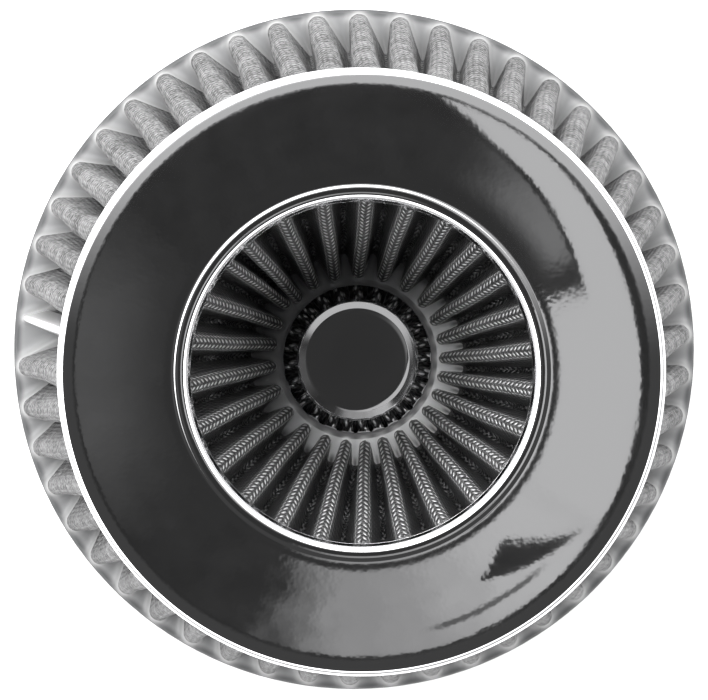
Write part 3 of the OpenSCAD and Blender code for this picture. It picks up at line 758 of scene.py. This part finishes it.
urethaneLook = {
    "specular": 0.3, "patch": (90, 3, 0.6), "dark": 0.85, "pale": 1.12, "shine": 0.2,
    "peel": (900, 2, 0.5), "peelHeight": 4e-5, "peelStrength": 0.4,
    # base: paler where risen round the pleats, a painted highlight
    "base": {"color": (0.2, 0.202, 0.205), "roughness": 0.4, "rise": {"power": 1.2, "color": (0.3, 0.3, 0.3)},
             # painted shade on the base's rounded outer edge
             "edges": [{"start": 73.8 * mm, "end": 75.4 * mm, "color": (0.06, 0.061, 0.063)}]},
    # hub: grey urethane, painted far paler than the base's as painted highlight, and paler still where it has
    # risen
    "hub": {"color": (0.72, 0.725, 0.73), "roughness": 0.26, "rise": {"power": 1.4, "color": (0.8, 0.8, 0.8)},
            # painted shade: darker out between the inner pleats and in the gap round the button's foot
            "edges": [{"start": 20.3 * mm, "end": 22.3 * mm, "color": (0.03, 0.03, 0.032)},
                      {"start": 17.2 * mm, "end": 16.9 * mm, "color": (0.16, 0.16, 0.162)}],
            # painted shade: the hub's urethane darker towards the upper left
            "paintedShade": {"angle": math.radians(140), "start": -17 * mm, "end": 14 * mm,
                    "color": (0.13, 0.13, 0.132)}},
    "seal": {"color": (0.05, 0.05, 0.052), "roughness": 0.5},
}


def makeMoulding(name, look, part):
    # satin urethane with a faint orange-peel skin and uneven shine; painted shade darkens it past its
    # edges' radii and towards one side, and painted highlight makes it paler where it has risen round the
    # pleats
    s = look[part]
    f = Finish(name, specular=look["specular"])
    point = f.objectPoint()
    x, y, _ = f.add("SeparateXYZ", Vector=point).outputs
    patch = f.noise(point, *look["patch"])
    shade = f.mix(patch, *(tuple(c * share for c in s["color"]) for share in (look["dark"], look["pale"])))
    # painted shade: past each edge's radii the colour darkens where the moulding lies in shade
    for edge in s.get("edges", ()):
        shade = f.mix(f.step(f.distance(x, y), edge["start"], edge["end"]), shade, edge["color"])
    # painted highlight: paler where the compound has risen round the pleats
    if "rise" in s:
        risen = f.add("Attribute", attribute_name="rise").outputs["Fac"]
        shade = f.mix(f.math("POWER", risen, s["rise"]["power"]), shade, s["rise"]["color"])
    # painted shade: darker towards one side
    if "paintedShade" in s:
        paintedShade = s["paintedShade"]
        towards = f.plus(f.times(x, math.cos(paintedShade["angle"])), f.times(y, math.sin(paintedShade["angle"])))
        shade = f.mix(f.step(towards, paintedShade["start"], paintedShade["end"]), shade, paintedShade["color"])
    f.put("color", shade)
    f.put("roughness", f.scaled(patch, look["shine"], s["roughness"] - look["shine"] / 2))
    f.bump(f.noise(point, *look["peel"]), look["peelHeight"], look["peelStrength"])
    return f.material


steelLook = {
    "lines": (300, 3, 0.7, (0.06, 0.06, 4.0)), "shine": 0.25, "lineHeight": 2e-5, "lineStrength": 0.3,
    "strip": {"color": (0.9, 0.9, 0.9), "roughness": 0.3},
    "band": {"color": (0.72, 0.73, 0.75), "roughness": 0.3},
    "housing": {"color": (0.7, 0.71, 0.73), "roughness": 0.28},
    "screw": {"color": (0.62, 0.63, 0.65), "roughness": 0.35},
}


def makeSteel(name, look, part):
    # strip metal with fine drawing lines
    f = Finish(name, color=look[part]["color"], metallic=1.0)
    lines = f.noise(f.objectPoint(), *look["lines"])
    f.put("roughness", f.scaled(lines, look["shine"], look[part]["roughness"] - 0.1))
    f.bump(lines, look["lineHeight"], look["lineStrength"])
    return f.material


def foldDistance(x, y, angles, centres, radii, flanks, outwards):
    # distance from points to the nearest pleat where it stands on its moulding; a pleat is a circle
    # at its fold and two straight flanks whose normals stand at the flank angles to its direction,
    # the clockwise one first
    a = np.radians(angles)[:, None, None]
    along = x * np.cos(a) + y * np.sin(a) - centres[:, None, None]
    side = y * np.cos(a) - x * np.sin(a)
    n = np.radians(np.where(side > 0, flanks[1], flanks[0]))
    side = np.abs(side)
    back = (-1 if outwards else 1) * (along * np.sin(n) - side * np.cos(n))
    flat = along * np.cos(n) + side * np.sin(n)
    gap = np.where(back >= 0, flat, np.hypot(along, side)) - radii[:, None, None]
    flankLength, tooFar = 12, 100                           # past its root, a pleat doesn't count
    return np.where(back > flankLength, tooFar, gap).min(0)


def flankAngle(ridge, ridgeR, root, rootR, halfPitch):
    # direction of the normal of the flank that touches the fold circles of a ridge and of a root
    dx, dy = root * math.cos(math.radians(halfPitch)) - ridge, root * math.sin(math.radians(halfPitch))
    lean = math.degrees(math.acos((ridgeR + rootR) / math.hypot(dx, dy)))
    turn = math.degrees(math.atan2(dy, dx))
    return turn - lean if dx < 0 else turn + lean


poolLook = {
    "outer": {"from": 61.2, "to": 75.72, "rows": 44, "segments": 1500, "climb": 1.3, "reach": 0.7,
              "top": 39.02, "under": 38.3, "edgeStart": 75.2, "edgeR": 0.8},
    "inner": {"from": 15.95, "to": 24.6, "rows": 30, "segments": 720, "climb": 0.5, "reach": 0.5,
              "top": 92.22, "under": 92.0},
}


def poolSkin(name, s, ground, distance):
    # moulding compound that has risen round the pleats' feet: ground height plus climb times swell
    # times exp(-distance / reach); the swell is 1 plus slow and quick waves round the axis, and the
    # skin is closed underneath
    t = np.linspace(0, 2 * np.pi, s["segments"], endpoint=False)
    r = np.linspace(s["from"], s["to"], s["rows"])[:, None]
    x, y = r * np.cos(t), r * np.sin(t)
    slowWave = 0.25 * np.sin(5 * t + 1.3) * np.sin(3 * t)
    quickWave = 0.18 * np.sin(23 * t + 0.5)
    swell = 1 + slowWave + quickWave
    rise = np.exp(-np.maximum(distance(x, y), 0) / s["reach"])
    top = np.stack([x, y, ground(r) + s["climb"] * swell * rise], -1)
    low = np.stack([x[[-1, 0]], y[[-1, 0]], np.full((2, s["segments"]), s["under"])], -1)
    verts = np.concatenate([top, low]) * mm
    pool = makeObject(name, verts, [outward(verts, gridFaces(len(verts), s["segments"], True, True))])
    values = np.concatenate([rise, np.zeros((2, s["segments"]))]).reshape(-1).astype(np.float32)
    pool.data.attributes.new("rise", "FLOAT", "POINT").data.foreach_set("value", values)
    return pool


def makeOuterPool(s, pleat):
    # level top that rounds off at the base ring's edge, round the feet of the outer pleats
    k = np.arange(pleat["count"])
    pitch = 360 / len(k)
    half = pleat["wall"] / 2
    angles = pleat["seamAngle"] + k * pitch + np.where(k > 0, pleat["seamShift"], 0)
    fold = pleat["footFold"] + half
    radii = np.where(k > 0, fold, pleat["seamWidth"] / 2)
    centres = pleat["footR"] - radii - np.where(k > 0, 0, pleat["seamSetBack"])
    root = pleat["footR"] - pleat["footDepth"] + half + pleat["rootR"]
    flanks = [flankAngle(pleat["footR"] - fold, fold, root, pleat["rootR"] - half, (0.5 + lean) * pitch)
              for lean in (pleat["footLean"], -pleat["footLean"])]

    def ground(r):
        over = np.clip(r - s["edgeStart"], 0, s["edgeR"] - 0.01)
        return s["top"] - s["edgeR"] + np.sqrt(s["edgeR"] ** 2 - over ** 2)

    def distance(x, y):
        return foldDistance(x, y, angles, centres, radii, flanks, True)

    return poolSkin("outerPool", s, ground, distance)


def makeInnerPool(s, pleat):
    # level top of the hub disc, round the feet of the inner pleats
    half = pleat["wall"] / 2
    fold = pleat["footFold"] + half
    angles = innerAngles(pleat, pleat["footWaves"])
    seam = np.arange(len(angles)) == len(angles) - 1
    radii = np.where(seam, pleat["seamFold"] + 2 * half, fold)
    centres = pleat["footR"] + radii + np.where(seam, pleat["setBack"], 0)
    root = pleat["footR"] + pleat["footDepth"] - half - pleat["rootR"]
    flank = flankAngle(pleat["footR"] + fold, fold, root, pleat["rootR"] - half, 180 / len(angles))

    def ground(r):
        return s["top"] + 0 * r

    def distance(x, y):
        return foldDistance(x, y, angles, centres, radii, (flank, flank), False)

    return poolSkin("innerPool", s, ground, distance)


baseUrethane = makeMoulding("greyUrethane", urethaneLook, "base")
hubUrethane = makeMoulding("hubUrethane", urethaneLook, "hub")
outerPool = makeOuterPool(poolLook["outer"], outerPleats)
outerPool.data.materials.append(baseUrethane)
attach(outerPool, "filter")
innerPool = makeInnerPool(poolLook["inner"], innerPleats)
innerPool.data.materials.append(hubUrethane)
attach(innerPool, "filter")
cadFinishes = {
    "base_flange": baseUrethane,
    "hub_disc": hubUrethane,
    "top_seal": makeMoulding("sealUrethane", urethaneLook, "seal"),
    "outer_seam_strip": makeSteel("seamMetal", steelLook, "strip"),
    "clamp_band": makeSteel("bandSteel", steelLook, "band"),
    "clamp_housing": makeSteel("housingSteel", steelLook, "housing"),
    "clamp_screw": makeSteel("screwSteel", steelLook, "screw"),
}
for nodeName, material in cadFinishes.items():
    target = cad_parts[nodeName]
    target.data.materials.clear()
    target.data.materials.append(material)
print("mouldings and clamp: done")
